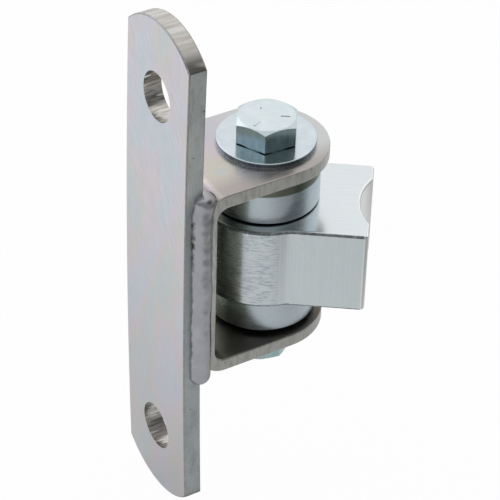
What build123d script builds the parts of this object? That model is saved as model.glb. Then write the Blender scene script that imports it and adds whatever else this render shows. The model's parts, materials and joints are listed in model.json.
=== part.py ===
"""Bolt-on gate hinge: a post plate with a welded clevis, and a gate knuckle that swings on a bolt.

Millimetres. The origin is the centre of the plate's mounting face. +X leaves the post,
+Y runs across the plate and +Z is up, along the hinge axis.
"""
import math
import os

from build123d import *

# Post plate: a flat bar with both ends cut to an arc
PLATE_WIDTH = 38.1
PLATE_THICKNESS = 6.35
PLATE_LENGTH = 185.8
PLATE_END_RADIUS = 26.7
HOLE_SPACING = 133.35
HOLE_DIAMETER = 16.7
PLATE_EDGE_RADIUS = 0.5

# Clevis: one strip bent to a U, its flange ends rounded about the hinge axis
STRIP_WIDTH = 41.3
STRIP_THICKNESS = 4.76
BEND_INNER_RADIUS = 4.0
STRIP_EDGE_RADIUS = 0.5
CLEVIS_RISE = 2.1
AXIS_REACH = 41.0
BOLT_HOLE_CLEARANCE = 0.4

# Weld beads along the two edges of the clevis web
BEAD_RADIUS = 3.8
BEAD_INSET = 1.3
BEAD_OFFSET = -0.1
BEAD_LOW_OVERRUN = 3.0
BEAD_HIGH_OVERRUN = 2.5

# Pivot bolt, nut and washers: half-inch hardware
BOLT_DIAMETER = 12.7
BOLT_TIP_PROUD = 3.7
BOLT_TIP_CHAMFER = 1.2
HEX_ACROSS_FLATS = 19.05
HEAD_HEIGHT = 7.9
HEAD_SEAT_INSET = 0.4
HEAD_SEAT_HEIGHT = 0.4
HEAD_TURN = -4.0
NUT_HEIGHT = 11.1
NUT_TURN = -23.0
HEX_CROWN_DROP = 1.0
NUT_THREAD_CLEARANCE = 0.05
WASHER_DIAMETER = 32.6
WASHER_THICKNESS = 1.8
WASHER_CLEARANCE = 0.6
WASHER_EDGE_BREAK = 0.3

# Knuckle: a barrel with a thick tail that ends in a saddle for the gate tube
BLOCK_HEIGHT = 30.1
BARREL_DIAMETER = 44.6
TAIL_STEP = 2.0
TAIL_BLEND_RADIUS = 8.0
TAIL_REACH = 35.1
TAIL_ANGLE = -36.0
GATE_TUBE_DIAMETER = 48.3
SADDLE_DEPTH = 3.6
TAIL_CORNER_RADIUS = 1.4
BLOCK_EDGE_RADIUS = 1.0

# Plain bush pressed into the knuckle, running on the bolt
BUSH_WALL = 1.6
RUNNING_CLEARANCE = 0.05

# Banded ball thrust bearings above and below the knuckle
UPPER_BEARING_HEIGHT = 16.1
LOWER_BEARING_HEIGHT = 14.8
BAND_DIAMETER = 36.2
BAND_WALL = 1.2
UPPER_BAND_GAP = 0.6
LOWER_BAND_GAP = 1.7
BAND_EDGE_RADIUS = 0.3
RACE_SPACING = 4.2
RACE_BORE_CLEARANCE = 0.35
RACE_BAND_CLEARANCE = 0.35
BALL_COUNT = 9
BALL_PITCH_DIAMETER = 23.4
BALL_CLEARANCE = 0.15
GROOVE_DEPTH = 1.4

# Levels along the hinge axis
CLEVIS_INSIDE = BLOCK_HEIGHT + UPPER_BEARING_HEIGHT + LOWER_BEARING_HEIGHT
FLANGE_TOP_Z = CLEVIS_RISE + CLEVIS_INSIDE / 2 + STRIP_THICKNESS
FLANGE_BOTTOM_Z = CLEVIS_RISE - CLEVIS_INSIDE / 2 - STRIP_THICKNESS
LOWER_BEARING_Z = FLANGE_BOTTOM_Z + STRIP_THICKNESS
BLOCK_BOTTOM_Z = LOWER_BEARING_Z + LOWER_BEARING_HEIGHT
BLOCK_TOP_Z = BLOCK_BOTTOM_Z + BLOCK_HEIGHT
HEAD_SEAT_Z = FLANGE_TOP_Z + WASHER_THICKNESS
NUT_SEAT_Z = FLANGE_BOTTOM_Z - WASHER_THICKNESS

# Sizes that follow from the fits
BOLT_LENGTH = HEAD_SEAT_Z - NUT_SEAT_Z + NUT_HEIGHT + BOLT_TIP_PROUD
BUSH_BORE = BOLT_DIAMETER + 2 * RUNNING_CLEARANCE
BUSH_DIAMETER = BUSH_BORE + 2 * BUSH_WALL
BAND_BORE = BAND_DIAMETER - 2 * BAND_WALL
RACE_BORE = BOLT_DIAMETER + 2 * RACE_BORE_CLEARANCE
BALL_DIAMETER = RACE_SPACING + 2 * GROOVE_DEPTH - 2 * BALL_CLEARANCE
HEX_CORNER_RADIUS = HEX_ACROSS_FLATS / math.sqrt(3)
AXIS = Location((AXIS_REACH, 0, 0))


def tube(outer_diameter, bore, height):
    """A ring on the hinge axis, standing on z = 0."""
    ring = Circle(outer_diameter / 2) - Circle(bore / 2)
    return extrude(ring, height)


def on_axis(solid, z, turn=0.0):
    """Carry a solid that was made about Z to its level on the hinge axis."""
    return AXIS * Pos(0, 0, z) * Rot(0, 0, turn) * solid


def plate_outline():
    """The bar seen along X: straight sides and two arcs that meet them at sharp corners."""
    half = PLATE_WIDTH / 2
    sag = PLATE_END_RADIUS - math.sqrt(PLATE_END_RADIUS ** 2 - half ** 2)
    tip = PLATE_LENGTH / 2
    corner = tip - sag
    right = Line((half, -corner), (half, corner))
    top = ThreePointArc((half, corner), (0, tip), (-half, corner))
    left = Line((-half, corner), (-half, -corner))
    bottom = ThreePointArc((-half, -corner), (0, -tip), (half, -corner))
    return make_face([right, top, left, bottom])


def mounting_plate():
    """The post plate with its two bolt holes."""
    plate = extrude(Plane.YZ * plate_outline(), PLATE_THICKNESS)
    rims = plate.edges().group_by(Axis.X)
    plate = fillet(rims[0] + rims[-1], PLATE_EDGE_RADIUS)
    holes = GridLocations(1, HOLE_SPACING, 1, 2)
    drills = Plane.YZ * holes * Cylinder(HOLE_DIAMETER / 2, 3 * PLATE_THICKNESS)
    return plate - drills


def rounded_run(start_x, height, radius):
    """A rectangle seen along Y, from start_x to past the flange ends, its two bend corners rounded."""
    length = AXIS_REACH + STRIP_WIDTH - start_x
    run = Pos(start_x, CLEVIS_RISE) * Rectangle(length, height, align=(Align.MIN, Align.CENTER))
    return fillet(run.vertices().group_by(Axis.X)[0], radius)


def strip_solid(section):
    """A section seen along Y, carried across the width of the strip."""
    return extrude(Plane.XZ * section, STRIP_WIDTH / 2, both=True)


def clevis_envelope():
    """The outer faces of the bent strip, filled in."""
    outer_height = CLEVIS_INSIDE + 2 * STRIP_THICKNESS
    return strip_solid(rounded_run(PLATE_THICKNESS, outer_height, BEND_INNER_RADIUS + STRIP_THICKNESS))


def clevis_space():
    """The space between the flanges."""
    return strip_solid(rounded_run(PLATE_THICKNESS + STRIP_THICKNESS, CLEVIS_INSIDE, BEND_INNER_RADIUS))


def clevis_bracket():
    """The U with rounded flange ends and a bolt hole through both flanges."""
    strip = clevis_envelope() - clevis_space()
    flange_run = Rectangle(AXIS_REACH, STRIP_WIDTH, align=(Align.MIN, Align.CENTER))
    plan = flange_run + Pos(AXIS_REACH, 0) * Circle(STRIP_WIDTH / 2)
    tall = PLATE_LENGTH
    strip = strip & extrude(plan, tall / 2, both=True)
    strip = fillet(strip.edges(), STRIP_EDGE_RADIUS)
    hole = Cylinder(BOLT_DIAMETER / 2 + BOLT_HOLE_CLEARANCE, tall)
    return strip - AXIS * hole


def weld_bead(side, plate):
    """A rounded bead on the joint, half way between plate edge and web edge; side is -1 or +1 along Y."""
    low = FLANGE_BOTTOM_Z - BEAD_LOW_OVERRUN + BEAD_RADIUS
    high = FLANGE_TOP_Z + BEAD_HIGH_OVERRUN - BEAD_RADIUS
    centre_x = PLATE_THICKNESS + BEAD_OFFSET
    joint_y = (PLATE_WIDTH + STRIP_WIDTH) / 4
    centre_y = side * (joint_y - BEAD_INSET)
    run = Cylinder(BEAD_RADIUS, high - low, align=(Align.CENTER, Align.CENTER, Align.MIN))
    bead = run + Sphere(BEAD_RADIUS) + Pos(0, 0, high - low) * Sphere(BEAD_RADIUS)
    bead = Pos(centre_x, centre_y, low) * bead
    return bead - plate - clevis_envelope()


def hexagon_prism(height, crown_both):
    """A hexagon on z = 0 with its corners turned off at the top, or at both ends."""
    prism = extrude(RegularPolygon(HEX_CORNER_RADIUS, 6), height)
    blank = Cylinder(HEX_CORNER_RADIUS, height, align=(Align.CENTER, Align.CENTER, Align.MIN))
    rims = blank.edges().filter_by(GeomType.CIRCLE).sort_by(Axis.Z)
    turned = rims if crown_both else rims[-1:]
    crown_run = HEX_CROWN_DROP * math.sqrt(3)
    face = blank.faces().filter_by(GeomType.CYLINDER)[0]
    blank = chamfer(turned, HEX_CROWN_DROP, crown_run, reference=face)
    return prism & blank


def pivot_bolt():
    """The hex bolt; the round seat under its head stands on the upper washer."""
    shank = Cylinder(BOLT_DIAMETER / 2, BOLT_LENGTH, align=(Align.CENTER, Align.CENTER, Align.MAX))
    tip = shank.edges().filter_by(GeomType.CIRCLE).sort_by(Axis.Z)[0]
    shank = chamfer(tip, BOLT_TIP_CHAMFER)
    seat_radius = HEX_ACROSS_FLATS / 2 - HEAD_SEAT_INSET
    seat = Cylinder(seat_radius, HEAD_SEAT_HEIGHT, align=(Align.CENTER, Align.CENTER, Align.MIN))
    head = Pos(0, 0, HEAD_SEAT_HEIGHT) * hexagon_prism(HEAD_HEIGHT - HEAD_SEAT_HEIGHT, crown_both=False)
    bolt = shank + seat + head
    return on_axis(bolt, HEAD_SEAT_Z, HEAD_TURN)


def hex_nut():
    """The nut under the lower washer."""
    bore = Cylinder(BOLT_DIAMETER / 2 + NUT_THREAD_CLEARANCE, 3 * NUT_HEIGHT)
    nut = hexagon_prism(NUT_HEIGHT, crown_both=True) - bore
    return on_axis(nut, NUT_SEAT_Z - NUT_HEIGHT, NUT_TURN)


def flat_washer(z):
    """A flat washer standing on level z."""
    washer = tube(WASHER_DIAMETER, BOLT_DIAMETER + 2 * WASHER_CLEARANCE, WASHER_THICKNESS)
    rims = washer.edges().filter_by(GeomType.CIRCLE).group_by(SortBy.RADIUS)[-1]
    return on_axis(fillet(rims, WASHER_EDGE_BREAK), z)


def tail_blend(side):
    """The web of metal between the barrel, an outward arc and the tail's flat; side is -1 or +1."""
    barrel = BARREL_DIAMETER / 2
    half = barrel - TAIL_STEP
    centre_reach = barrel + TAIL_BLEND_RADIUS
    across = half + TAIL_BLEND_RADIUS
    along = math.sqrt(centre_reach ** 2 - across ** 2)
    centre = Vector(along, side * across)
    on_barrel = centre * (barrel / centre_reach)
    on_flat = Vector(along, side * half)
    mid = centre - ((centre - on_barrel) + (centre - on_flat)).normalized() * TAIL_BLEND_RADIUS
    arc = ThreePointArc(on_barrel, mid, on_flat)
    return make_face([arc, Line(on_flat, (0, 0)), Line((0, 0), on_barrel)])


def block_plan():
    """The knuckle seen from above with its tail along +X: barrel, blends, tail and saddle."""
    width = BARREL_DIAMETER - 2 * TAIL_STEP
    tail = Rectangle(TAIL_REACH, width, align=(Align.MIN, Align.CENTER))
    tail = fillet(tail.vertices().group_by(Axis.X)[-1], TAIL_CORNER_RADIUS)
    tube_radius = GATE_TUBE_DIAMETER / 2
    saddle = Pos(TAIL_REACH - SADDLE_DEPTH + tube_radius, 0) * Circle(tube_radius)
    body = Circle(BARREL_DIAMETER / 2) + tail_blend(-1) + tail_blend(1)
    return body + (tail - saddle)


def hinge_block():
    """The knuckle, bored for its bush, with the upper and lower rims rounded."""
    block = extrude(block_plan(), BLOCK_HEIGHT)
    rims = block.edges().group_by(Axis.Z)
    block = fillet(rims[0] + rims[-1], BLOCK_EDGE_RADIUS)
    block = block - Cylinder(BUSH_DIAMETER / 2, 3 * BLOCK_HEIGHT)
    return on_axis(block, BLOCK_BOTTOM_Z, TAIL_ANGLE)


def pivot_bush():
    """The plain bush through the knuckle."""
    return on_axis(tube(BUSH_DIAMETER, BUSH_BORE, BLOCK_HEIGHT), BLOCK_BOTTOM_Z)


def race(outer_diameter, thickness, grooved_top):
    """A grooved race standing on z = 0, its ball track on the top or the bottom."""
    ring = tube(outer_diameter, RACE_BORE, thickness)
    groove_radius = BALL_DIAMETER / 2 + BALL_CLEARANCE
    lift = groove_radius - GROOVE_DEPTH
    level = thickness + lift if grooved_top else -lift
    return ring - Pos(0, 0, level) * Torus(BALL_PITCH_DIAMETER / 2, groove_radius)


def thrust_bearing(name, z, height, band_gap):
    """The four pieces of one bearing that stands on level z, its band hanging band_gap clear of that level."""
    thickness = (height - RACE_SPACING) / 2
    top_race = race(BAND_BORE, thickness, grooved_top=False)
    bottom_race = race(BAND_BORE - 2 * RACE_BAND_CLEARANCE, thickness, grooved_top=True)
    band = tube(BAND_DIAMETER, BAND_BORE, height - band_gap)
    rims = band.edges().filter_by(GeomType.CIRCLE).group_by(SortBy.RADIUS)[-1]
    band = fillet(rims, BAND_EDGE_RADIUS)
    ring = PolarLocations(BALL_PITCH_DIAMETER / 2, BALL_COUNT)
    balls = Part() + ring * Sphere(BALL_DIAMETER / 2)
    return {
        f"{name}_bearing_band": on_axis(band, z + band_gap),
        f"{name}_bearing_top_race": on_axis(top_race, z + height - thickness),
        f"{name}_bearing_bottom_race": on_axis(bottom_race, z),
        f"{name}_bearing_balls": on_axis(balls, z + height / 2),
    }


def hinge_pieces():
    """Every piece of the hinge, by node name."""
    plate = mounting_plate()
    pieces = {
        "mounting_plate": plate,
        "clevis_bracket": clevis_bracket(),
        "weld_bead_near": weld_bead(-1, plate),
        "weld_bead_far": weld_bead(1, plate),
        "pivot_bolt": pivot_bolt(),
        "head_washer": flat_washer(FLANGE_TOP_Z),
        "nut_washer": flat_washer(NUT_SEAT_Z),
        "hex_nut": hex_nut(),
        "hinge_block": hinge_block(),
        "pivot_bush": pivot_bush(),
    }
    pieces.update(thrust_bearing("upper", BLOCK_TOP_Z, UPPER_BEARING_HEIGHT, UPPER_BAND_GAP))
    pieces.update(thrust_bearing("lower", LOWER_BEARING_Z, LOWER_BEARING_HEIGHT, LOWER_BAND_GAP))
    return pieces


os.makedirs("parts", exist_ok=True)
for node, solid in hinge_pieces().items():
    export_step(solid, f"parts/{node}.step")
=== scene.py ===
"""Looks of a bolt-on gate hinge: finishes, weld beads, head marks, bolt thread, studio and camera."""
import json
import math

import bmesh
import bpy
from bpy.props import FloatProperty, FloatVectorProperty, IntProperty, PointerProperty
from bpy.types import Operator, Panel, PropertyGroup
from mathutils import Matrix, Vector


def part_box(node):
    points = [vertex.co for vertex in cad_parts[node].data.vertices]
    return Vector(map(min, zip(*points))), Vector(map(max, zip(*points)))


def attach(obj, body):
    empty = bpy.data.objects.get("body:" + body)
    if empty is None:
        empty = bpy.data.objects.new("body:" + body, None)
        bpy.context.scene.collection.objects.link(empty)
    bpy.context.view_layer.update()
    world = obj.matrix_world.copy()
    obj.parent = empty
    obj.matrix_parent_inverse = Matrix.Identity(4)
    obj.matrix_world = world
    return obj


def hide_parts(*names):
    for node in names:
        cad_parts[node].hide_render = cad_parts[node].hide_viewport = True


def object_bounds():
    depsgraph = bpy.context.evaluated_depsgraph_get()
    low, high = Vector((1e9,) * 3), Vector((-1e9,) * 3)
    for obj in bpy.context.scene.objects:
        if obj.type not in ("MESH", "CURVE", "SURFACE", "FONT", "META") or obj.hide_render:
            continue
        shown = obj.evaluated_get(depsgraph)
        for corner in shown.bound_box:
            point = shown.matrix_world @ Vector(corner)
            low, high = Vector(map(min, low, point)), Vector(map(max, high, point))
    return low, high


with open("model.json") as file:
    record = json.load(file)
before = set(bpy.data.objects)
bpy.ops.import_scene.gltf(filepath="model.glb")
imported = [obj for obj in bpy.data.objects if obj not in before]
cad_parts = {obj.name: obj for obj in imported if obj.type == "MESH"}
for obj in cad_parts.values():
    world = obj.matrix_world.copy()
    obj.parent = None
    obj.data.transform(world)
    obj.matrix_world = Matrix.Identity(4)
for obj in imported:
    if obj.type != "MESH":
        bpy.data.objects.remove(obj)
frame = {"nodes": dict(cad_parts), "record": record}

bl_info = {
    "name": "Gate hinge looks",
    "version": (1, 1, 0),
    "blender": (4, 5, 0),
    "location": "3D View > Sidebar > Gate hinge",
    "description": "Finishes, weld beads, head marks, bolt thread and studio for a bolt-on gate hinge",
    "category": "Object",
}

MM = 0.001
X, Y, Z = range(3)
NODES = frame["nodes"]
CAD_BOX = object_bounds()

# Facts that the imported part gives
MOUNTS = {mount["name"]: mount for mount in frame["record"]["mounts"]}
BOLT_HOLES = MOUNTS["post_bolts"]["dims"]
SADDLE = MOUNTS["gate_saddle"]
JOINTS = {joint["name"]: joint for joint in frame["record"]["behaviour"]["joints"]}
AXIS = Vector(JOINTS["gate_swing"]["pos_m"])
CLEVIS_LOW, CLEVIS_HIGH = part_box("clevis_bracket")
BEAD_LOW, BEAD_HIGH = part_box("weld_bead_near")
TAIL_ANGLE = math.degrees(math.atan2(SADDLE["axis"][Y], SADDLE["axis"][X]))

# The gate tube that the saddle is cut for, 48.3 mm across
GATE_TUBE_RADIUS = 24.15 * MM

# Sockets of a Mix node for colours, whose names other kinds of Mix share
SHARE, UNDER, OVER = 0, 6, 7
MIXED = 2

# Where most of a noise pattern's values lie
NOISE_LOW, NOISE_HIGH = 0.3, 0.7

# Points closer than this are one point, and edges sharper than this stay sharp
MERGE_DISTANCE = 0.001 * MM
SHARP_ANGLE = math.radians(30)

# How finely the grown pieces are cut
BEAD_RINGS = 260
BEAD_SIDES = 40
THREAD_STEPS = 72
RIDGE_SIDES = 4

# The bead's end caps as a share of its radius, and its lumps to the millimetre
BEAD_CAP = 0.02
BEAD_LUMPS = 0.13

# Directions in the studio, and how far along them the light fades
TO_BACK = (0.42, 0.68, 0.6)
BACK_FADE = (-0.3, 0.8)
TO_DARK_CORNER = (0.42, -0.66, 0.62)
CORNER_FADE = (0.84, 0.96)
TO_TABLE = (0.6, -0.8, 0)

# How much plain white the camera and mirrored rays get
PAPER_TO_CAMERA = 0.975
PAPER_TO_METAL = 0.36
TABLE_TO_METAL = 0.18
SKY_TO_CAMERA = 1.0
SKY_TO_METAL = 0.06

# The soft light, the spot on the floor that it faces, and the camera's sensor in millimetres
KEY_PLACE = (-0.45, 0.70, 0.50)
KEY_SPOT = (-0.15, 0.25)
SENSOR = 36.0


# Settings

def linear(code, tint=(1.0, 1.0, 1.0)):
    """An sRGB hex colour as linear RGBA, times a tint."""
    parts = [int(code[i:i + 2], 16) / 255 for i in (1, 3, 5)]
    flat = [c / 12.92 if c <= 0.04045 else ((c + 0.055) / 1.055) ** 2.4 for c in parts]
    return (*(c * t for c, t in zip(flat, tint)), 1.0)


def length(label, description, size):
    """A length in metres."""
    return FloatProperty(name=label, description=description, default=size, unit="LENGTH", precision=5)


def angle(label, description, degrees):
    """An angle, kept in radians."""
    return FloatProperty(name=label, description=description, default=math.radians(degrees), unit="ROTATION")


def level(label, description, share):
    """A share from 0 to 1."""
    return FloatProperty(name=label, description=description, default=share,
                         subtype="FACTOR", min=0.0, max=1.0)


def paint(label, description, code):
    """A colour, kept as linear RGB."""
    return FloatVectorProperty(name=label, description=description, default=linear(code)[:3],
                               subtype="COLOR", size=3, min=0.0, max=1.0)


def finish_tint(label):
    """A colour that a finish is multiplied by."""
    return paint(label, "Tint of the finish; white leaves it as it is", "#ffffff")


class HingeTintSettings(PropertyGroup):
    """A tint for each material slot of the part."""

    zinc_plate: finish_tint("Plate zinc")
    zinc_strip: finish_tint("Clevis zinc")
    zinc_weld: finish_tint("Weld zinc")
    zinc_fastener: finish_tint("Hardware zinc")
    zinc_block: finish_tint("Knuckle zinc")
    zinc_band: finish_tint("Bearing band zinc")
    bush_bronze: finish_tint("Bush bronze")
    race_steel: finish_tint("Race steel")
    ball_steel: finish_tint("Ball steel")


class HingePlateSettings(PropertyGroup):
    """The post plate's holes and its bend."""

    hole_spacing: length("Hole spacing", "Between the bolt holes", BOLT_HOLES["spacing_y_mm"] * MM)
    hole_radius: length("Hole radius", "Of each bolt hole", BOLT_HOLES["hole_r_mm"] * MM)
    bow: length("Bow", "How far welding has drawn each end towards the clevis", 1.3 * MM)
    slices: IntProperty(name="Slices", description="Parts that the plate is cut into to bend",
                        default=48, min=2)


class HingeKnuckleSettings(PropertyGroup):
    """What tells the knuckle's faces apart."""

    blend_reach: length("Blend reach", "Hinge axis to where the tail's sides leave the barrel", 7.0 * MM)
    tail_angle: angle("Tail angle", "Of the tail at rest, from straight out", TAIL_ANGLE)
    saddle_reach: length("Saddle reach", "Hinge axis to the bottom of the saddle",
                         (Vector(SADDLE["pos_m"]) - AXIS).length)


class HingeWeldSettings(PropertyGroup):
    """The two weld beads."""

    radius: length("Radius", "Of the bead", (BEAD_HIGH.y - BEAD_LOW.y) / 2)
    pitch: length("Pitch", "Between ripples", 4.4 * MM)
    ripple: length("Ripple", "Height of a ripple at the toe on the plate", 0.08 * MM)
    lump: length("Lump", "Height of the uneven lumps", 0.9 * MM)
    hook: length("Hook", "How far the top end runs on to the clevis's bend", 1.4 * MM)
    hook_run: length("Hook run", "Length of the bead that bends over", 9.0 * MM)
    blob: length("Blob", "Extra thickness where the weld starts, at the top", 0.55 * MM)


class HingeMarkSettings(PropertyGroup):
    """The raised grade marks on the bolt head."""

    count: IntProperty(name="Count", description="Marks round the head", default=3, min=1)
    ring: length("Ring", "Middle of a mark, from the axis", 5.9 * MM)
    run: length("Length", "Of a mark", 3.0 * MM)
    width: length("Width", "Of a mark", 0.55 * MM)
    height: length("Height", "Of a mark over the head", 0.2 * MM)
    turn: angle("Turn", "Of the first mark", -34.0)


class HingeThreadSettings(PropertyGroup):
    """The thread on the bolt's tip, below the nut."""

    radius: length("Radius", "Of the bolt", 6.35 * MM)
    pitch: length("Pitch", "Between turns, 13 to the inch", 25.4 / 13 * MM)
    ridge: length("Ridge", "Half the width of a thread's crest", 0.55 * MM)
    proud: length("Proud", "How far the crest stands out of the bolt", 0.12 * MM)
    bare_tip: length("Bare tip", "Plain end of the bolt", 1.2 * MM)


class HingeStageSettings(PropertyGroup):
    """The studio's floor and light."""

    floor_size: length("Floor size", "Side of the floor", 8.0)
    paper: paint("Paper", "Colour of the white paper", "#dcdcdc")
    table: paint("Table", "Colour of the dark table in front of the paper", "#8a8986")
    paper_start: length("Paper fade start", "Where the white paper starts to end", 0.10)
    paper_end: length("Paper fade end", "Where the dark table starts", 0.20)
    back_level: level("Back level", "Light from the studio's bright back and top", 1.0)
    front_level: level("Front level", "Light from the studio's dimmer front", 0.3)
    dark_share: level("Dark share", "What is left of that light in the dark front corner", 0.2)
    key_power: FloatProperty(name="Key power", description="Of the soft light behind the hinge",
                             default=1.8, unit="POWER")
    key_size: length("Key size", "Side of the soft light", 1.0)


class HingeCameraSettings(PropertyGroup):
    """The camera at the photograph's angle."""

    lens: FloatProperty(name="Lens", description="Focal length", default=169.07, unit="CAMERA")
    azimuth: angle("Azimuth", "Round the hinge", -32.1)
    elevation: angle("Elevation", "Above the level", 36.93)
    roll: angle("Roll", "About the line of sight", 1.78)
    distance: length("Distance", "Camera to aim", 0.75939)
    aim: FloatVectorProperty(name="Aim", description="Middle of the picture", size=3, subtype="TRANSLATION",
                             unit="LENGTH", default=(0.02833, -0.01246, 0.00599))


# Nodes and patterns

def add(tree, kind, inputs=None, stops=(), **settings):
    """Add a node with its settings, links and colour stops; give back its outputs."""
    node = tree.nodes.new(kind)
    for key, value in settings.items():
        setattr(node, key, value)
    for key, value in (inputs or {}).items():
        if isinstance(value, bpy.types.NodeSocket):
            tree.links.new(value, node.inputs[key])
        else:
            node.inputs[key].default_value = value
    for i, (place, colour) in enumerate(stops):
        bands = node.color_ramp.elements
        band = bands[i] if i < len(bands) else bands.new(place)
        band.position = place
        band.color = colour
    return node.outputs


def cloud(tree, patch, stretch=(1, 1, 1), turn=(0, 0, 0), detail=3.0, crisp=0.55):
    """Soft noise in patches of a size in millimetres, longer where stretch is below 1, turned by degrees."""
    place = add(tree, "ShaderNodeTexCoord")["Object"]
    placed = add(tree, "ShaderNodeMapping", {
        "Vector": place,
        "Rotation": [math.radians(a) for a in turn],
        "Scale": [patch * MM / s for s in stretch],
    }, vector_type="TEXTURE")[0]
    return add(tree, "ShaderNodeTexNoise", {
        "Vector": placed, "Scale": 1.0, "Detail": detail, "Roughness": crisp,
    })[0]


def along(tree, axis, start, end):
    """0 to 1 along an axis of the piece, from start to end in millimetres."""
    place = add(tree, "ShaderNodeTexCoord")["Object"]
    reach = add(tree, "ShaderNodeSeparateXYZ", {0: place})[axis]
    return add(tree, "ShaderNodeMapRange", {
        "Value": reach, "From Min": start * MM, "From Max": end * MM,
    }, interpolation_type="SMOOTHSTEP")[0]


def hues(tint, *stops):
    """Colour stops as places and tinted linear colours."""
    return [(place, linear(code, tint)) for place, code in stops]


def blank_metal(name):
    """A new metal material, with its node tree."""
    made = bpy.data.materials.new(name)
    made.use_nodes = True
    made.node_tree.nodes["Principled BSDF"].inputs["Metallic"].default_value = 1.0
    return made, made.node_tree


def coat(made, colour, grain, rough, relief):
    """Give a metal its colour, and let a grain set its roughness between two values and its relief in mm."""
    tree = made.node_tree
    shader = tree.nodes["Principled BSDF"]
    gloss = add(tree, "ShaderNodeMapRange", {
        "Value": grain, "From Min": NOISE_LOW, "From Max": NOISE_HIGH, "To Min": rough[0], "To Max": rough[1],
    }, interpolation_type="SMOOTHSTEP")[0]
    bump = add(tree, "ShaderNodeBump", {"Height": grain, "Distance": relief * MM, "Strength": 1.0})[0]
    for key, socket in (("Base Color", colour), ("Roughness", gloss), ("Normal", bump)):
        tree.links.new(socket, shader.inputs[key])
    return made


def plain_coat(name, tint, stops, rough, relief, patch, **pattern):
    """A metal whose colour, gloss and relief all follow one pattern."""
    made, tree = blank_metal(name)
    grain = cloud(tree, patch, **pattern)
    colour = add(tree, "ShaderNodeValToRGB", {0: grain}, hues(tint, *stops))[0]
    return coat(made, colour, grain, rough, relief)


# Finishes of the post plate

def zinc_rolled_bar(tint):
    """Zinc on rolled flat bar: a pale face with a faint rainbow film in patches and slanted brush lines, and
    painted shade that greys it towards its lower end.
    The lines are drawn 0.4 mm apart, coarser than real, so that they show."""
    made, tree = blank_metal("zinc_rolled_bar")
    film = cloud(tree, 17.0, stretch=(1, 1, 0.45), detail=2.5)
    colour = add(tree, "ShaderNodeValToRGB", {0: film}, hues(
        tint, (0.30, "#dfe9f0"), (0.40, "#e4eaf4"), (0.48, "#ede5ee"), (0.54, "#eae7e4"), (0.60, "#e0e9ea"),
        (0.70, "#e3e8f0"),
    ))[0]
    # Painted shade: the face is multiplied greyer towards its lower end
    colour = add(tree, "ShaderNodeMix", {
        SHARE: along(tree, Z, start=60.0, end=-90.0), UNDER: colour, OVER: linear("#e5e2e2"),
    }, data_type="RGBA", blend_type="MULTIPLY")[MIXED]
    lines = cloud(tree, 0.4, stretch=(1, 1, 0.06), turn=(-30, 0, 0))
    share = add(tree, "ShaderNodeMapRange", {
        "Value": lines, "From Min": 0.35, "From Max": 0.65, "To Max": 0.4,
    })[0]
    colour = add(tree, "ShaderNodeMix", {
        SHARE: share, UNDER: colour, OVER: linear("#cbcfd3", tint),
    }, data_type="RGBA")[MIXED]
    return coat(made, colour, lines, rough=(0.30, 0.40), relief=0.004)


def zinc_rolled_edge(tint):
    """Zinc over the bar's rolled edges: blotched grey with a few pits, and darker from the weld's top down,
    partly a duller zinc and partly painted shade.
    """
    made, tree = blank_metal("zinc_rolled_edge")
    blotch = cloud(tree, 4.0, stretch=(1, 1, 0.4), detail=6.0, crisp=0.8)
    unshaded_edge = add(tree, "ShaderNodeValToRGB", {0: blotch}, hues(
        tint, (0.30, "#bcc2c1"), (0.48, "#d6dcdd"), (0.62, "#e0e6e7"), (0.75, "#c6cbc8"),
    ))[0]
    dull = add(tree, "ShaderNodeValToRGB", {0: blotch}, hues(
        tint, (0.30, "#8f9596"), (0.48, "#a8aeb0"), (0.62, "#b4babc"), (0.75, "#9aa09e"),
    ))[0]
    # Darker from the weld's top down: partly a duller zinc, partly painted shade
    colour = add(tree, "ShaderNodeMix", {
        SHARE: along(tree, Z, start=43.0, end=32.0), UNDER: unshaded_edge, OVER: dull,
    }, data_type="RGBA")[MIXED]
    pits = cloud(tree, 1.8, detail=2.0)
    share = add(tree, "ShaderNodeMapRange", {
        "Value": pits, "From Min": 0.71, "From Max": 0.75, "To Max": 0.8,
    })[0]
    colour = add(tree, "ShaderNodeMix", {
        SHARE: share, UNDER: colour, OVER: linear("#4d4a46", tint),
    }, data_type="RGBA")[MIXED]
    return coat(made, colour, blotch, rough=(0.30, 0.42), relief=0.006)


def zinc_sheared_end(tint):
    """Zinc over the bar's sheared round ends: browner, scored across the bar's thickness, and darker towards
    the near corner with painted shade."""
    made, tree = blank_metal("zinc_sheared_end")
    score = cloud(tree, 1.4, stretch=(0.08, 1, 1), detail=4.0, crisp=0.6)
    colour = add(tree, "ShaderNodeValToRGB", {0: score}, hues(
        tint, (0.32, "#b0aaa2"), (0.5, "#c4c1bc"), (0.68, "#d6d5d2"),
    ))[0]
    # Painted shade: darker towards the near corner
    colour = add(tree, "ShaderNodeMix", {
        SHARE: along(tree, Y, start=-9.0, end=-18.0), UNDER: colour, OVER: linear("#97958f", tint),
    }, data_type="RGBA")[MIXED]
    return coat(made, colour, score, rough=(0.22, 0.30), relief=0.007)


def zinc_worn_corner(tint):
    """Zinc over the bar's rounded corners: a thin grey line, darker than the face as painted shade, scuffed
    here and there.
    """
    # Painted shade: the corner is a grey line, darker than the face
    return plain_coat("zinc_worn_corner", tint, [(0.35, "#989998"), (0.65, "#b0b1b0")],
                      rough=(0.40, 0.50), relief=0.004, patch=2.0)


def zinc_punched_hole(tint):
    """Zinc in a punched hole: a shiny wall scored along the punch's path."""
    return plain_coat("zinc_punched_hole", tint, [(0.35, "#aaa59e"), (0.60, "#dad8d4")],
                      rough=(0.18, 0.24), relief=0.035, patch=0.67, stretch=(0.14, 1, 1))


# Finishes of the clevis and its welds

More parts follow.
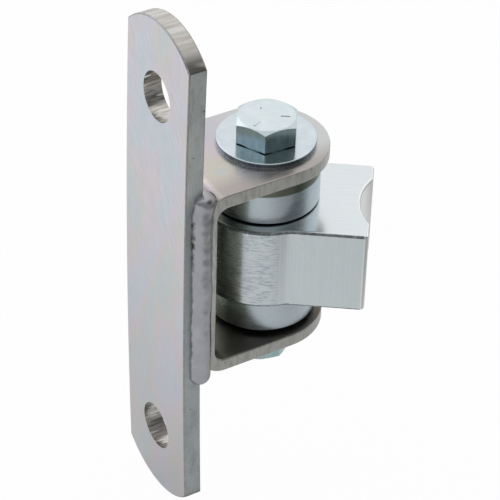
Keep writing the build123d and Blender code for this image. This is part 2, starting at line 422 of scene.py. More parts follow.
def zinc_bent_strip(tint):
    """Zinc on bent strip: satin grey, with a violet and straw film near the weld's heat, and darker along
    its near edge, partly a duller zinc and partly painted shade.
    The rolling lines are drawn 0.4 mm apart, coarser than real, so that they show."""
    made, tree = blank_metal("zinc_bent_strip")
    film = cloud(tree, 17.0, stretch=(0.8, 1, 1), detail=2.0)
    colour = add(tree, "ShaderNodeValToRGB", {0: film}, hues(
        tint, (0.30, "#bfc1c6"), (0.42, "#c4bec8"), (0.50, "#c8c0c5"), (0.57, "#c8c3b7"), (0.66, "#c0c3c3"),
    ))[0]
    colour = add(tree, "ShaderNodeMix", {
        SHARE: along(tree, X, start=22.0, end=46.0), UNDER: colour, OVER: linear("#c8cbca", tint),
    }, data_type="RGBA")[MIXED]
    # Darker along the near edge: partly a duller zinc, partly painted shade
    colour = add(tree, "ShaderNodeMix", {
        SHARE: along(tree, Y, start=-8.0, end=-19.0), UNDER: colour, OVER: linear("#aea7a5", tint),
    }, data_type="RGBA")[MIXED]
    lines = cloud(tree, 0.38, stretch=(0.06, 1, 1))
    return coat(made, colour, lines, rough=(0.25, 0.33), relief=0.002)


def zinc_thin_recess(tint):
    """Zinc inside the clevis, darkened with painted shade: dark low down, lighter higher up, and olive
    along the web.
    """
    made, tree = blank_metal("zinc_thin_recess")
    dull = cloud(tree, 5.0)
    # Painted shade: dark low in the clevis, lighter higher up
    colour = add(tree, "ShaderNodeValToRGB", {0: dull}, hues(tint, (0.35, "#6d6965"), (0.65, "#7d7974")))[0]
    colour = add(tree, "ShaderNodeMix", {
        SHARE: along(tree, Z, start=-26.0, end=22.0), UNDER: colour, OVER: linear("#c0bdb9", tint),
    }, data_type="RGBA")[MIXED]
    colour = add(tree, "ShaderNodeMix", {
        SHARE: along(tree, X, start=26.0, end=12.0), UNDER: colour, OVER: linear("#a8a798", tint),
    }, data_type="RGBA")[MIXED]
    return coat(made, colour, dull, rough=(0.36, 0.44), relief=0.01)


def zinc_sheared_strip(tint):
    """Zinc on the strip's sheared edges: fine upright tears, and darker low down with painted shade."""
    made, tree = blank_metal("zinc_sheared_strip")
    tears = cloud(tree, 1.0, stretch=(1, 1, 0.25), detail=4.0)
    low = add(tree, "ShaderNodeValToRGB", {0: tears}, hues(
        tint, (0.3, "#9d9d99"), (0.5, "#b0b0ac"), (0.7, "#bcbdba"),
    ))[0]
    high = add(tree, "ShaderNodeValToRGB", {0: tears}, hues(
        tint, (0.3, "#bcbcb8"), (0.5, "#d2d2ce"), (0.7, "#dcdddb"),
    ))[0]
    # Painted shade: the copy low down is darker than the one high up
    colour = add(tree, "ShaderNodeMix", {
        SHARE: along(tree, Z, start=-34.0, end=18.0), UNDER: low, OVER: high,
    }, data_type="RGBA")[MIXED]
    return coat(made, colour, tears, rough=(0.30, 0.38), relief=0.012)


def zinc_over_weld(tint):
    """Zinc over weld metal: smooth cool grey, darker towards the clevis with painted shade, and dark pits
    where the upper bead meets the plate."""
    made, tree = blank_metal("zinc_over_weld")
    lumps = cloud(tree, 4.5)
    colour = add(tree, "ShaderNodeValToRGB", {0: lumps}, hues(
        tint, (0.30, "#aaacb1"), (0.5, "#b1b2b8"), (0.7, "#b9b9be"),
    ))[0]
    # Painted shade: the side towards the clevis is darker
    colour = add(tree, "ShaderNodeMix", {
        SHARE: along(tree, X, start=6.0, end=9.5), UNDER: colour, OVER: linear("#918f8b", tint),
    }, data_type="RGBA")[MIXED]
    crown = along(tree, X, start=2.6, end=3.2)
    toe = add(tree, "ShaderNodeMath", {0: 1.0, 1: crown}, operation="SUBTRACT")[0]
    upper = along(tree, Z, start=2.0, end=24.0)
    upper_toe = add(tree, "ShaderNodeMath", {0: toe, 1: upper}, operation="MULTIPLY")[0]
    spots = cloud(tree, 1.7, stretch=(1, 1, 0.7), detail=4.0, crisp=0.65)
    pitted = add(tree, "ShaderNodeMapRange", {"Value": spots, "From Min": 0.42, "From Max": 0.58})[0]
    share = add(tree, "ShaderNodeMath", {0: upper_toe, 1: pitted}, operation="MULTIPLY")[0]
    colour = add(tree, "ShaderNodeMix", {
        SHARE: share, UNDER: colour, OVER: linear("#423d3c", tint),
    }, data_type="RGBA")[MIXED]
    return coat(made, colour, lumps, rough=(0.22, 0.28), relief=0.006)


# Finishes of the bolt, nut and washers

def bright_zinc_forged_head(tint):
    """Bright blue-white zinc on forged faces: glossy, with a faint mottle."""
    return plain_coat("bright_zinc_forged_head", tint, [(0.35, "#d2dee2"), (0.65, "#dbe4e7")],
                      rough=(0.15, 0.21), relief=0.0015, patch=3.3, detail=4.0)


def bright_zinc_chamfer(tint):
    """Bright zinc on the hexagon's turned chamfers: satin."""
    return plain_coat("bright_zinc_chamfer", tint, [(0.35, "#c6d2d6"), (0.65, "#d2dcdf")],
                      rough=(0.30, 0.38), relief=0.002, patch=1.2)


def bright_zinc_hexagon(tint):
    """Bright zinc on the hexagon's rolled sides: a blue-green cast, and darker than the top with painted shade.
    """
    # Painted shade: the sides are darker than the head's top
    return plain_coat("bright_zinc_hexagon", tint, [(0.35, "#a0bcc1"), (0.65, "#b2cbce")],
                      rough=(0.17, 0.24), relief=0.004, patch=2.0, stretch=(1, 1, 0.3))


def bright_zinc_washer(tint):
    """Bright zinc on pressed washers and the nut's faces: a bluer cast."""
    return plain_coat("bright_zinc_washer", tint, [(0.35, "#cbd5dc"), (0.65, "#d6dfe4")],
                      rough=(0.16, 0.22), relief=0.001, patch=5.0)


def zinc_punched_rim(tint):
    """Thin zinc on the washers' punched rims: torn upright, and darker, partly for the thin zinc and partly
    painted shade.
    """
    # Darker than the washers' faces: partly the thin zinc, partly painted shade
    return plain_coat("zinc_punched_rim", tint, [(0.35, "#66767d"), (0.65, "#819199")],
                      rough=(0.22, 0.30), relief=0.006, patch=1.1, stretch=(1, 1, 0.3))


# Finishes of the knuckle and its bush

def zinc_sawn_block(tint):
    """Zinc on the knuckle's sawn top and bottom: glossy, with faint saw lines along the tail and a painted
    highlight round the saddle's rim."""
    made, tree = blank_metal("zinc_sawn_block")
    lines = cloud(tree, 0.55, stretch=(0.05, 1, 1), turn=(0, 0, TAIL_ANGLE))
    colour = add(tree, "ShaderNodeValToRGB", {0: lines}, hues(tint, (0.35, "#d9e0e3"), (0.65, "#e0e6e8")))[0]
    # Painted highlight: a white line round the saddle's rim
    tube = Vector(SADDLE["pos_m"]) + GATE_TUBE_RADIUS * Vector(SADDLE["axis"])
    place = add(tree, "ShaderNodeTexCoord")["Object"]
    aside = add(tree, "ShaderNodeVectorMath", {0: place, 1: tube}, operation="SUBTRACT")[0]
    flat = add(tree, "ShaderNodeVectorMath", {0: aside, 1: (1, 1, 0)}, operation="MULTIPLY")[0]
    away = add(tree, "ShaderNodeVectorMath", {0: flat}, operation="LENGTH")["Value"]
    rim_highlight = add(tree, "ShaderNodeMapRange", {
        "Value": away, "From Min": GATE_TUBE_RADIUS + 0.4 * MM, "From Max": GATE_TUBE_RADIUS + 0.8 * MM,
        "To Min": 1.0, "To Max": 0.0,
    })[0]
    colour = add(tree, "ShaderNodeMix", {
        SHARE: rim_highlight, UNDER: colour, OVER: linear("#ffffff", tint),
    }, data_type="RGBA")[MIXED]
    return coat(made, colour, lines, rough=(0.15, 0.22), relief=0.0015)


def zinc_turned_barrel(tint):
    """Zinc on the turned barrel: short torn lines round the wall.
    They are drawn 0.6 mm apart, coarser than real, so that they show."""
    return plain_coat("zinc_turned_barrel", tint, [(0.38, "#b0bcc1"), (0.48, "#cdd6da"), (0.60, "#dae1e4")],
                      rough=(0.20, 0.28), relief=0.002, patch=0.6, stretch=(0.2, 0.2, 1),
                      detail=4.0, crisp=0.65)


def zinc_drawn_tail(tint):
    """Zinc on the tail's drawn sides: upright lines, 0.8 mm apart, coarser than real, so that they show."""
    return plain_coat("zinc_drawn_tail", tint, [(0.36, "#d3dde0"), (0.64, "#dde5e7")],
                      rough=(0.26, 0.34), relief=0.004, patch=0.83, stretch=(1, 1, 0.04),
                      turn=(0, 0, TAIL_ANGLE))


def zinc_milled_saddle(tint):
    """Zinc in the milled saddle: pale and satin, with upright cutter lines 0.8 mm apart."""
    return plain_coat("zinc_milled_saddle", tint, [(0.36, "#f1f5f4"), (0.64, "#f8fafa")],
                      rough=(0.20, 0.28), relief=0.002, patch=0.83, stretch=(1, 1, 0.04))


def zinc_ground_rim(tint):
    """Zinc over hand-ground rims: rough and uneven, and darker, partly for the grinding and partly painted
    shade.
    """
    # Darker: partly the grinding, partly painted shade
    return plain_coat("zinc_ground_rim", tint, [(0.34, "#6c7375"), (0.52, "#8d9597"), (0.70, "#c4cbcd")],
                      rough=(0.36, 0.50), relief=0.08, patch=1.1, detail=4.0, crisp=0.65)


def oiled_bronze_bush(tint):
    """Oiled bronze, turned: warm, with rings 0.5 mm apart, coarser than real, so that they show."""
    return plain_coat("oiled_bronze_bush", tint, [(0.35, "#9a7340"), (0.65, "#b4894f")],
                      rough=(0.30, 0.40), relief=0.002, patch=0.5, stretch=(0.05, 0.05, 1))


# Finishes of the bearings

def bright_zinc_band(tint):
    """Bright zinc on turned bearing bands: fine lines round the band, and painted shade in dark olive at the
    top of the upper one, under the flange.
    The lines are drawn 0.3 mm apart, coarser than real, so that they show."""
    made, tree = blank_metal("bright_zinc_band")
    lines = cloud(tree, 0.33, stretch=(0.03, 0.03, 1), detail=2.0)
    colour = add(tree, "ShaderNodeValToRGB", {0: lines}, hues(tint, (0.35, "#bfcbd1"), (0.65, "#c8d3d8")))[0]
    # Painted shade: dark olive at the top of the upper band, under the flange
    colour = add(tree, "ShaderNodeMix", {
        SHARE: along(tree, Z, start=27.2, end=27.7), UNDER: colour, OVER: linear("#6f7669", tint),
    }, data_type="RGBA")[MIXED]
    return coat(made, colour, lines, rough=(0.26, 0.32), relief=0.001)


def greased_race_steel(tint):
    """Bearing steel, almost black with painted shade, with turned rings.
    They are drawn 0.5 mm apart, coarser than real, so that they show."""
    # Painted shade: the races are almost black
    return plain_coat("greased_race_steel", tint, [(0.35, "#131314"), (0.65, "#1b1b1b")],
                      rough=(0.35, 0.45), relief=0.001, patch=0.5, stretch=(0.05, 0.05, 1))


def polished_ball_steel(tint):
    """Polished bearing steel: mirror bright, with a breath of haze."""
    return plain_coat("polished_ball_steel", tint, [(0.35, "#c3c3c4"), (0.65, "#cfcfcf")],
                      rough=(0.06, 0.10), relief=0.0002, patch=1.5)


def clothe(piece, slot, finishes, choose=None):
    """Give a piece its finishes; choose picks a finish number for each face from its normal and centre."""
    mesh = piece.data
    mesh.materials.clear()
    slot_tint = getattr(bpy.context.scene.hinge_tints, slot)
    for finish in finishes:
        mesh.materials.append(bpy.data.materials.get(finish.__name__) or finish(slot_tint))
    for face in mesh.polygons:
        face.material_index = choose(face.normal, face.center) if choose else 0


# Pieces

def bowed_copy(node, name, bow, slices):
    """A copy of a CAD node cut across into slices, its upper and lower ends drawn forward by the bow."""
    work = bmesh.new()
    work.from_mesh(NODES[node].data)
    bmesh.ops.remove_doubles(work, verts=work.verts, dist=MERGE_DISTANCE)
    low, high = (corner.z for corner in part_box(node))
    for i in range(1, slices):
        cut = low + (high - low) * i / slices
        everything = work.verts[:] + work.edges[:] + work.faces[:]
        bmesh.ops.bisect_plane(work, geom=everything, plane_co=(0, 0, cut), plane_no=(0, 0, 1))
    for vert in work.verts:
        vert.co.x += bow * (vert.co.z / high) ** 2
    mesh = bpy.data.meshes.new(name)
    work.to_mesh(mesh)
    work.free()
    mesh.shade_smooth()
    mesh.set_sharp_from_angle(angle=SHARP_ANGLE)
    piece = bpy.data.objects.new(name, mesh)
    bpy.context.scene.collection.objects.link(piece)
    return piece


class HINGE_OT_plate(Operator):
    """Bow and finish the post plate: faces, rolled edges, sheared ends and punched holes"""

    bl_idname = "hinge.plate"
    bl_label = "Finish plate"

    def execute(self, context):
        sizes = context.scene.hinge_plate
        face, edge, hole, corner, end = range(5)

        # Cosines that part the finishes, and room for the flats of a hole's facets
        square_face, sloped, square_edge = 0.95, 0.1, 0.98
        hole_reach = sizes.hole_radius + 0.5 * MM

        def choose(normal, centre):
            if abs(normal.x) > sloped:
                return face if abs(normal.x) > square_face else corner
            from_hole = math.hypot(centre.y, abs(centre.z) - sizes.hole_spacing / 2)
            if from_hole < hole_reach:
                return hole
            return edge if abs(normal.y) > square_edge else end

        piece = bowed_copy("mounting_plate", "post_plate", sizes.bow, sizes.slices)
        finishes = [zinc_rolled_bar, zinc_rolled_edge, zinc_punched_hole, zinc_worn_corner, zinc_sheared_end]
        clothe(piece, "zinc_plate", finishes, choose)
        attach(piece, "post_side")
        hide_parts("mounting_plate")
        return {"FINISHED"}


class HINGE_OT_clevis(Operator):
    """Finish the clevis: rolled faces, sheared edges and the inside, darkened with painted shade"""

    bl_idname = "hinge.clevis"
    bl_label = "Finish clevis"

    def execute(self, context):
        middle = (CLEVIS_LOW.z + CLEVIS_HIGH.z) / 2
        face, edge, inside = range(3)

        # The cosine that parts an edge from a face
        square = 0.6

        def choose(normal, centre):
            past_axis = centre.x > AXIS.x
            if abs(normal.y) > square or (past_axis and abs(normal.z) < square):
                return edge
            inward = Vector((AXIS.x - centre.x, 0, middle - centre.z))
            return inside if normal.dot(inward) > 0 else face

        finishes = [zinc_bent_strip, zinc_sheared_strip, zinc_thin_recess]
        clothe(NODES["clevis_bracket"], "zinc_strip", finishes, choose)
        return {"FINISHED"}


class HINGE_OT_fasteners(Operator):
    """Finish the bolt, nut and washers"""

    bl_idname = "hinge.fasteners"
    bl_label = "Finish fasteners"

    def execute(self, context):
        flat, upright, slanted = range(3)

        # Cosines that part sides and tops from chamfers
        steep, level_top = 0.2, 0.97

        def choose(normal, centre):
            if abs(normal.z) < steep:
                return upright
            return flat if abs(normal.z) > level_top else slanted

        hexagons = {"pivot_bolt": bright_zinc_forged_head, "hex_nut": bright_zinc_washer}
        for node, top in hexagons.items():
            clothe(NODES[node], "zinc_fastener", [top, bright_zinc_hexagon, bright_zinc_chamfer], choose)
        washer = [bright_zinc_washer, zinc_punched_rim, bright_zinc_washer]
        for node in ("head_washer", "nut_washer"):
            clothe(NODES[node], "zinc_fastener", washer, choose)
        return {"FINISHED"}


class HINGE_OT_knuckle(Operator):
    """Finish the knuckle and its bush"""

    bl_idname = "hinge.knuckle"
    bl_label = "Finish knuckle"

    def execute(self, context):
        sizes = context.scene.hinge_knuckle
        tail = Vector((math.cos(sizes.tail_angle), math.sin(sizes.tail_angle), 0))
        flat, barrel, side, rim, saddle = range(5)

        # Cosines that part the top, the rims and the walls, and room for the flats of the saddle's facets
        level_top, sloped = 0.9, 0.1
        saddle_start = sizes.saddle_reach - 1.5 * MM

        def choose(normal, centre):
            reach = (centre - AXIS).dot(tail)
            if abs(normal.z) > level_top:
                return flat
            if reach > saddle_start:
                return saddle
            if abs(normal.z) > sloped:
                return rim
            return side if reach > sizes.blend_reach else barrel

        finishes = [zinc_sawn_block, zinc_turned_barrel, zinc_drawn_tail, zinc_ground_rim, zinc_milled_saddle]
        clothe(NODES["hinge_block"], "zinc_block", finishes, choose)
        clothe(NODES["pivot_bush"], "bush_bronze", [oiled_bronze_bush])
        return {"FINISHED"}


class HINGE_OT_bearings(Operator):
    """Finish the two thrust bearings"""

    bl_idname = "hinge.bearings"
    bl_label = "Finish bearings"

    def execute(self, context):
        for side in ("upper", "lower"):
            clothe(NODES[f"{side}_bearing_band"], "zinc_band", [bright_zinc_band])
            clothe(NODES[f"{side}_bearing_top_race"], "race_steel", [greased_race_steel])
            clothe(NODES[f"{side}_bearing_bottom_race"], "race_steel", [greased_race_steel])
            clothe(NODES[f"{side}_bearing_balls"], "ball_steel", [polished_ball_steel])
        return {"FINISHED"}


# Pieces grown by Geometry Nodes

def node_group(name, sockets):
    """An empty geometry node group with named number inputs and one geometry output."""
    tree = bpy.data.node_groups.new(name, "GeometryNodeTree")
    for label in sockets:
        tree.interface.new_socket(label, in_out="INPUT", socket_type="NodeSocketFloat")
    tree.interface.new_socket("Geometry", in_out="OUTPUT", socket_type="NodeSocketGeometry")
    return tree, tree.nodes.new("NodeGroupInput").outputs


def finish_group(tree, geometry, material, smooth):
    """Shade, realize and paint the geometry, and hand it to the group's output."""
    shaded = add(tree, "GeometryNodeSetShadeSmooth", {"Geometry": geometry, "Shade Smooth": smooth})[0]
    real = add(tree, "GeometryNodeRealizeInstances", {"Geometry": shaded})[0]
    painted = add(tree, "GeometryNodeSetMaterial", {"Geometry": real, "Material": material})[0]
    add(tree, "NodeGroupOutput", {"Geometry": painted})


def grown(name, tree, values, body):
    """Run a geometry node group with these input values and keep its result as a plain mesh on a body."""
    seed = bpy.data.objects.new(name + "_seed", bpy.data.meshes.new(name + "_seed"))
    bpy.context.scene.collection.objects.link(seed)
    modifier = seed.modifiers.new("grow", "NODES")
    modifier.node_group = tree
    for item in tree.interface.items_tree:
        if item.in_out == "INPUT":
            modifier[item.identifier] = float(values[item.name])
    graph = bpy.context.evaluated_depsgraph_get()
    mesh = bpy.data.meshes.new_from_object(seed.evaluated_get(graph), depsgraph=graph)
    bpy.data.objects.remove(seed)
    mesh.name = name
    piece = bpy.data.objects.new(name, mesh)
    bpy.context.scene.collection.objects.link(piece)
    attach(piece, body)
    return piece


def bead_group(material):
    """A bead along Z: round, with domed ends and uneven lumps, thick at the top and hooked over there."""
    tree, given = node_group("weld_bead", [
        "Radius", "X", "Y", "Low", "High", "Pitch", "Ripple", "Lump", "Hook", "Hook run", "Blob",
    ])
    low_end = add(tree, "ShaderNodeCombineXYZ", {X: given["X"], Y: given["Y"], Z: given["Low"]})[0]
    high_end = add(tree, "ShaderNodeCombineXYZ", {X: given["X"], Y: given["Y"], Z: given["High"]})[0]
    line = add(tree, "GeometryNodeCurvePrimitiveLine", {"Start": low_end, "End": high_end})[0]
    line = add(tree, "GeometryNodeResampleCurve", {"Curve": line, "Count": BEAD_RINGS})[0]

    # Height of each point, from the two ends
    place = add(tree, "GeometryNodeInputPosition")[0]
    height = add(tree, "ShaderNodeSeparateXYZ", {0: place})[Z]
    over_low = add(tree, "ShaderNodeMath", {0: height, 1: given["Low"]}, operation="SUBTRACT")[0]
    under_high = add(tree, "ShaderNodeMath", {0: given["High"], 1: height}, operation="SUBTRACT")[0]

    # Domed ends, and a thicker start at the top
    nearest = add(tree, "ShaderNodeMath", {0: over_low, 1: under_high}, operation="MINIMUM")[0]
    share = add(tree, "ShaderNodeMath", {
        0: nearest, 1: given["Radius"],
    }, operation="DIVIDE", use_clamp=True)[0]
    inward = add(tree, "ShaderNodeMath", {0: 1.0, 1: share}, operation="SUBTRACT")[0]
    squared = add(tree, "ShaderNodeMath", {0: inward, 1: inward}, operation="MULTIPLY")[0]
    left = add(tree, "ShaderNodeMath", {0: 1.0 + BEAD_CAP ** 2, 1: squared}, operation="SUBTRACT")[0]
    dome = add(tree, "ShaderNodeMath", {0: left}, operation="SQRT")[0]
    thick = add(tree, "ShaderNodeMapRange", {
        "Value": under_high, "From Max": given["Hook run"], "To Min": given["Blob"], "To Max": 0.0,
    }, interpolation_type="SMOOTHSTEP")[0]
    full = add(tree, "ShaderNodeMath", {0: given["Radius"], 1: thick}, operation="ADD")[0]
    girth = add(tree, "ShaderNodeMath", {0: dome, 1: full}, operation="MULTIPLY")[0]

    # The top end bends over on to the clevis
    lean = add(tree, "ShaderNodeMapRange", {
        "Value": under_high, "From Max": given["Hook run"], "To Min": given["Hook"], "To Max": 0.0,
    }, interpolation_type="SMOOTHSTEP")[0]
    aside = add(tree, "ShaderNodeCombineXYZ", {X: lean})[0]
    hooked = add(tree, "GeometryNodeSetPosition", {"Geometry": line, "Offset": aside})[0]
    ring = add(tree, "GeometryNodeCurvePrimitiveCircle", {"Resolution": BEAD_SIDES, "Radius": 1.0})[0]
    run = add(tree, "GeometryNodeCurveToMesh", {
        "Curve": hooked, "Profile Curve": ring, "Scale": girth, "Fill Caps": True,
    })[0]

    # Crescent ripples that grow from the smooth crown to the toe on the plate
    spot = add(tree, "ShaderNodeSeparateXYZ", {0: place})
    off = add(tree, "ShaderNodeMath", {0: spot[X], 1: given["X"]}, operation="SUBTRACT")[0]
    off_squared = add(tree, "ShaderNodeMath", {0: off, 1: off}, operation="MULTIPLY")[0]
    sweep = add(tree, "ShaderNodeMath", {0: off_squared, 1: given["Radius"]}, operation="DIVIDE")[0]
    swept = add(tree, "ShaderNodeMath", {0: spot[Z], 1: sweep}, operation="ADD")[0]
    turns = add(tree, "ShaderNodeMath", {0: swept, 1: given["Pitch"]}, operation="DIVIDE")[0]
    phase = add(tree, "ShaderNodeMath", {0: turns, 1: 2 * math.pi}, operation="MULTIPLY")[0]
    wave = add(tree, "ShaderNodeMath", {0: phase}, operation="SINE")[0]
    to_plate = add(tree, "ShaderNodeMath", {0: off, 1: -1.0}, operation="MULTIPLY")[0]
    toe = add(tree, "ShaderNodeMapRange", {
        "Value": to_plate, "From Max": given["Radius"], "To Min": 0.0, "To Max": given["Ripple"],
    }, interpolation_type="SMOOTHSTEP")[0]
    ripple = add(tree, "ShaderNodeMath", {0: wave, 1: toe}, operation="MULTIPLY")[0]

    # Uneven lumps, added to the ripples and pushed outwards
    uneven = add(tree, "ShaderNodeTexNoise", {"Vector": place, "Scale": BEAD_LUMPS / MM, "Detail": 2.0})[0]
    centred = add(tree, "ShaderNodeMath", {0: uneven, 1: 0.5}, operation="SUBTRACT")[0]
    push = add(tree, "ShaderNodeMath", {
        0: centred, 1: given["Lump"], 2: ripple,
    }, operation="MULTIPLY_ADD")[0]
    outwards = add(tree, "GeometryNodeInputNormal")[0]
    offset = add(tree, "ShaderNodeVectorMath", {0: outwards, "Scale": push}, operation="SCALE")[0]
    lumpy = add(tree, "GeometryNodeSetPosition", {"Geometry": run, "Offset": offset})[0]
    finish_group(tree, lumpy, material, smooth=True)
    return tree


class HINGE_OT_beads(Operator):
    """Lay the two weld beads along the clevis web"""

    bl_idname = "hinge.beads"
    bl_label = "Lay weld beads"

    def execute(self, context):
        weld = context.scene.hinge_weld
        tree = bead_group(zinc_over_weld(context.scene.hinge_tints.zinc_weld))
        for node in ("weld_bead_near", "weld_bead_far"):
            low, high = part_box(node)
            middle = (low + high) / 2
            values = {
                "Radius": weld.radius, "X": middle.x, "Y": middle.y, "Low": low.z, "High": high.z,
                "Pitch": weld.pitch, "Ripple": weld.ripple, "Lump": weld.lump,
                "Hook": weld.hook, "Hook run": weld.hook_run, "Blob": weld.blob,
            }
            piece = grown(node + "_run", tree, values, "post_side")
            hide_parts(node)
        return {"FINISHED"}


def mark_group(material):
    """Short raised bars on rays from the Z axis."""
    tree, given = node_group("grade_marks", [
        "Count", "Ring", "Length", "Width", "Height", "X", "Level", "Turn",
    ])
    size = add(tree, "ShaderNodeCombineXYZ", {X: given["Length"], Y: given["Width"], Z: given["Height"]})[0]
    bar = add(tree, "GeometryNodeMeshCube", {"Size": size})[0]
    ring = add(tree, "GeometryNodeMeshCircle", {"Vertices": given["Count"], "Radius": given["Ring"]})[0]
    place = add(tree, "GeometryNodeInputPosition")[0]
    facing = add(tree, "FunctionNodeAlignRotationToVector", {"Vector": place}, axis="X")[0]
    bars = add(tree, "GeometryNodeInstanceOnPoints", {"Points": ring, "Instance": bar, "Rotation": facing})[0]
    spin = add(tree, "ShaderNodeCombineXYZ", {Z: given["Turn"]})[0]
    lift = add(tree, "ShaderNodeCombineXYZ", {X: given["X"], Z: given["Level"]})[0]
    moved = add(tree, "GeometryNodeTransform", {"Geometry": bars, "Translation": lift, "Rotation": spin})[0]
    finish_group(tree, moved, material, smooth=False)
    return tree


class HINGE_OT_marks(Operator):
    """Raise the grade marks on the bolt head"""

    bl_idname = "hinge.marks"
    bl_label = "Raise head marks"

    def execute(self, context):
        marks = context.scene.hinge_marks
        values = {
            "Count": marks.count, "Ring": marks.ring, "Length": marks.run, "Width": marks.width,
            "Height": 2 * marks.height, "X": AXIS.x, "Level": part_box("pivot_bolt")[1].z, "Turn": marks.turn,
        }
        tree = mark_group(bpy.data.materials["bright_zinc_forged_head"])
        grown("head_grade_marks", tree, values, "post_side")
        return {"FINISHED"}


def thread_group(material):
    """A helix of four-sided ridge round the Z axis, from Low up to High."""
    tree, given = node_group("bolt_thread", ["Radius", "Pitch", "Ridge", "Proud", "X", "Low", "High"])
    rise = add(tree, "ShaderNodeMath", {0: given["High"], 1: given["Low"]}, operation="SUBTRACT")[0]
    turns = add(tree, "ShaderNodeMath", {0: rise, 1: given["Pitch"]}, operation="DIVIDE")[0]
    crest = add(tree, "ShaderNodeMath", {0: given["Radius"], 1: given["Proud"]}, operation="ADD")[0]
    core = add(tree, "ShaderNodeMath", {0: crest, 1: given["Ridge"]}, operation="SUBTRACT")[0]
    helix = add(tree, "GeometryNodeCurveSpiral", {
        "Resolution": THREAD_STEPS, "Rotations": turns,
        "Start Radius": core, "End Radius": core, "Height": rise,
    })[0]
    ring = add(tree, "GeometryNodeCurvePrimitiveCircle", {
        "Resolution": RIDGE_SIDES, "Radius": given["Ridge"],
    })[0]
    ridge = add(tree, "GeometryNodeCurveToMesh", {
        "Curve": helix, "Profile Curve": ring, "Fill Caps": True,
    })[0]
    lift = add(tree, "ShaderNodeCombineXYZ", {X: given["X"], Z: given["Low"]})[0]
    moved = add(tree, "GeometryNodeTransform", {"Geometry": ridge, "Translation": lift})[0]
    finish_group(tree, moved, material, smooth=False)
    return tree


class HINGE_OT_thread(Operator):
    """Wind the thread round the bolt's tip"""

    bl_idname = "hinge.thread"
    bl_label = "Thread bolt tip"

    def execute(self, context):
        thread = context.scene.hinge_thread
        values = {
            "Radius": thread.radius, "Pitch": thread.pitch, "Ridge": thread.ridge, "Proud": thread.proud,
            "X": AXIS.x, "Low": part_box("pivot_bolt")[0].z + thread.bare_tip, "High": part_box("hex_nut")[0].z,
        }
        tree = thread_group(bpy.data.materials["bright_zinc_forged_head"])
        grown("bolt_tip_thread", tree, values, "post_side")
        return {"FINISHED"}


# Studio

def seen_share(tree, camera, mirror):
    """How much plain white a ray gets: one share for the camera, one for mirrored and bent rays."""
    path = add(tree, "ShaderNodeLightPath")
    bent = add(tree, "ShaderNodeMath", {
        0: path["Is Glossy Ray"], 1: path["Is Transmission Ray"],
    }, operation="MAXIMUM")[0]
    straight = add(tree, "ShaderNodeMath", {0: path["Is Camera Ray"], 1: camera}, operation="MULTIPLY")[0]
    turned = add(tree, "ShaderNodeMath", {0: bent, 1: mirror}, operation="MULTIPLY")[0]
    return add(tree, "ShaderNodeMath", {0: straight, 1: turned}, operation="MAXIMUM")[0]


def white_paper(stage):
    """White paper on a dark table: almost white to the camera, with the hinge's shadow kept."""
    made = bpy.data.materials.new("white_paper")
    made.use_nodes = True
    tree = made.node_tree
    tree.nodes.clear()
    place = add(tree, "ShaderNodeTexCoord")["Object"]
    forward = add(tree, "ShaderNodeVectorMath", {0: place, 1: TO_TABLE}, operation="DOT_PRODUCT")["Value"]
    table = add(tree, "ShaderNodeMapRange", {
        "Value": forward, "From Min": stage.paper_start, "From Max": stage.paper_end,
    }, interpolation_type="SMOOTHSTEP")[0]
    colour = add(tree, "ShaderNodeMix", {
        SHARE: table, UNDER: (*stage.paper, 1.0), OVER: (*stage.table, 1.0),
    }, data_type="RGBA")[MIXED]
    matt = add(tree, "ShaderNodeBsdfDiffuse", {"Color": colour})[0]
    white = add(tree, "ShaderNodeEmission", {"Strength": 1.0})[0]
    mirror = add(tree, "ShaderNodeMapRange", {
        "Value": table, "To Min": PAPER_TO_METAL, "To Max": TABLE_TO_METAL,
    })[0]
    mixed = add(tree, "ShaderNodeMixShader", {
        0: seen_share(tree, PAPER_TO_CAMERA, mirror), 1: matt, 2: white,
    })[0]
    add(tree, "ShaderNodeOutputMaterial", {"Surface": mixed})
    return made


def studio_world(stage):
    """A studio lit from behind and above, with a dark front corner; the camera sees it all white."""
    made = bpy.data.worlds.new("studio_world")
    made.use_nodes = True
    tree = made.node_tree
    tree.nodes.clear()
    way = add(tree, "ShaderNodeTexCoord")["Generated"]
    to_back = add(tree, "ShaderNodeVectorMath", {0: way, 1: TO_BACK}, operation="DOT_PRODUCT")["Value"]
    sky = add(tree, "ShaderNodeMapRange", {
        "Value": to_back, "From Min": BACK_FADE[0], "From Max": BACK_FADE[1],
        "To Min": stage.front_level, "To Max": stage.back_level,
    }, interpolation_type="SMOOTHSTEP")[0]
    to_corner = add(tree, "ShaderNodeVectorMath", {
        0: way, 1: TO_DARK_CORNER,
    }, operation="DOT_PRODUCT")["Value"]
    shade = add(tree, "ShaderNodeMapRange", {
        "Value": to_corner, "From Min": CORNER_FADE[0], "From Max": CORNER_FADE[1],
        "To Min": 1.0, "To Max": stage.dark_share,
    }, interpolation_type="SMOOTHSTEP")[0]
    dimmed = add(tree, "ShaderNodeMath", {0: sky, 1: shade}, operation="MULTIPLY")[0]
    soft = add(tree, "ShaderNodeBackground", {"Color": linear("#ffffff"), "Strength": dimmed})[0]
    white = add(tree, "ShaderNodeBackground", {"Color": linear("#ffffff"), "Strength": 1.0})[0]
    mixed = add(tree, "ShaderNodeMixShader", {
        0: seen_share(tree, SKY_TO_CAMERA, SKY_TO_METAL), 1: soft, 2: white,
    })[0]
    add(tree, "ShaderNodeOutputWorld", {"Surface": mixed})
    return made


def area_light(name, power, size, place, target):
    """A square soft light at a place, facing a target."""
    data = bpy.data.lights.new(name, "AREA")
    data.energy = power
    data.size = size
    lamp = bpy.data.objects.new(name, data)
    lamp.location = place
    lamp.rotation_euler = (Vector(place) - Vector(target)).to_track_quat("Z", "Y").to_euler()
    bpy.context.scene.collection.objects.link(lamp)


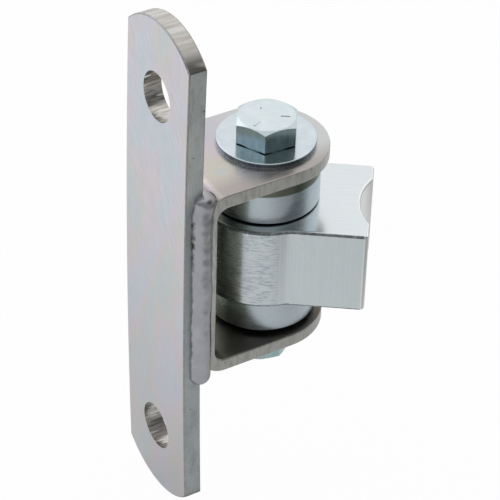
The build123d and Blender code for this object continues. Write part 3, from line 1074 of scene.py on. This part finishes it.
def photo_camera(view):
    """The camera at the photograph's angle."""
    right = Vector((math.cos(view.azimuth), math.sin(view.azimuth), 0))
    level_back = Vector((math.sin(view.azimuth), -math.cos(view.azimuth), 0))
    back = math.cos(view.elevation) * level_back + math.sin(view.elevation) * Vector((0, 0, 1))
    tilted = math.cos(view.roll) * right + math.sin(view.roll) * back.cross(right)
    turn = Matrix((tilted, back.cross(tilted), back)).transposed()
    data = bpy.data.cameras.new("photo_camera")
    data.sensor_width = SENSOR
    data.lens = view.lens
    camera = bpy.data.objects.new("photo_camera", data)
    camera.matrix_world = Matrix.LocRotScale(Vector(view.aim) + view.distance * back, turn, None)
    bpy.context.scene.collection.objects.link(camera)
    bpy.context.scene.camera = camera


class HINGE_OT_stage(Operator):
    """Set the floor, the studio light and the camera"""

    bl_idname = "hinge.stage"
    bl_label = "Set stage"

    def execute(self, context):
        scene = context.scene
        stage = scene.hinge_stage
        scene.view_settings.view_transform = "Standard"
        half = stage.floor_size / 2
        ground = CAD_BOX[0].z
        mesh = bpy.data.meshes.new("studio_floor")
        corners = [(-half, -half, ground), (half, -half, ground), (half, half, ground), (-half, half, ground)]
        mesh.from_pydata(corners, [], [(0, 1, 2, 3)])
        mesh.materials.append(white_paper(stage))
        floor = bpy.data.objects.new("studio_floor", mesh)
        scene.collection.objects.link(floor)
        scene.world = studio_world(stage)
        area_light("key_light", stage.key_power, stage.key_size, KEY_PLACE, (*KEY_SPOT, ground))
        photo_camera(scene.hinge_camera)
        return {"FINISHED"}


# Panel and registration

STEPS = ("plate", "clevis", "fasteners", "knuckle", "bearings", "beads", "marks", "thread", "stage")


class HINGE_PT_build(Panel):
    """Buttons for each step of the hinge"""

    bl_idname = "HINGE_PT_build"
    bl_label = "Gate hinge"
    bl_space_type = "VIEW_3D"
    bl_region_type = "UI"
    bl_category = "Gate hinge"

    def draw(self, context):
        for step in STEPS:
            self.layout.operator("hinge." + step)


SETTINGS = {
    "hinge_tints": HingeTintSettings,
    "hinge_plate": HingePlateSettings,
    "hinge_knuckle": HingeKnuckleSettings,
    "hinge_weld": HingeWeldSettings,
    "hinge_marks": HingeMarkSettings,
    "hinge_thread": HingeThreadSettings,
    "hinge_stage": HingeStageSettings,
    "hinge_camera": HingeCameraSettings,
}
CLASSES = (
    *SETTINGS.values(),
    HINGE_OT_plate, HINGE_OT_clevis, HINGE_OT_fasteners, HINGE_OT_knuckle,
    HINGE_OT_bearings, HINGE_OT_beads, HINGE_OT_marks, HINGE_OT_thread, HINGE_OT_stage,
    HINGE_PT_build,
)


def register():
    """Add the classes, and the settings to the scene."""
    for cls in CLASSES:
        bpy.utils.register_class(cls)
    for name, kind in SETTINGS.items():
        setattr(bpy.types.Scene, name, PointerProperty(type=kind))


def unregister():
    """Take the settings and the classes away again."""
    for name in SETTINGS:
        delattr(bpy.types.Scene, name)
    for cls in reversed(CLASSES):
        bpy.utils.unregister_class(cls)


def main():
    """Build every step."""
    register()
    for step in STEPS:
        getattr(bpy.ops.hinge, step)()


if __name__ == "__main__":
    main()
